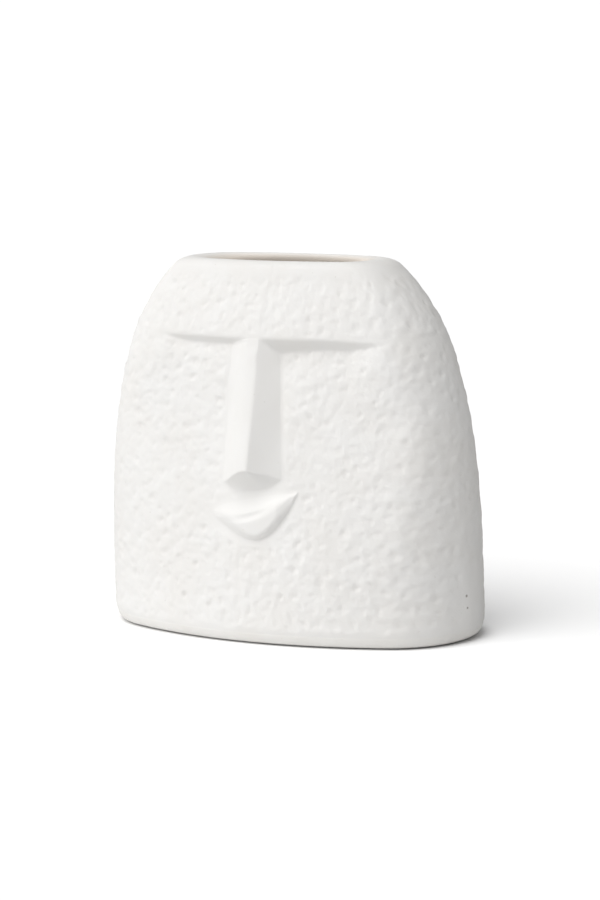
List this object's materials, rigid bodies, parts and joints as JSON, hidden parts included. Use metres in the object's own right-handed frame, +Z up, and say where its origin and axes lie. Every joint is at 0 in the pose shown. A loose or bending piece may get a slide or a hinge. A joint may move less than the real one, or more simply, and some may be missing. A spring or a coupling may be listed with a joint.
{
  "type": "face vase",
  "caption": "Hollow oval dome vase in matt white pitted bisque, with a brow, nose and mouth in low relief, an oval mouth at the top for stems and a flat foot to stand on.",
  "frame": {"origin": "middle of the foot, on the surface the vase stands on", "axes": "+Z up, -Y the way the face looks, +X along the width, towards the right of someone looking at the face"},
  "size_m": [0.17, 0.0898, 0.155],
  "materials": {
    "pitted_bisque": "matt, shallow irregular pits",
    "smooth_bisque": "matt, sponged smooth",
    "inside_glaze": "thin satin glaze"
  },
  "bodies": {
    "root": {"body_wall": "pitted_bisque", "base_slab": "smooth_bisque", "nose": "smooth_bisque", "upper_lip": "smooth_bisque", "lower_lip": "smooth_bisque", "inner_glaze": "inside_glaze"}
  },
  "joints": []
}
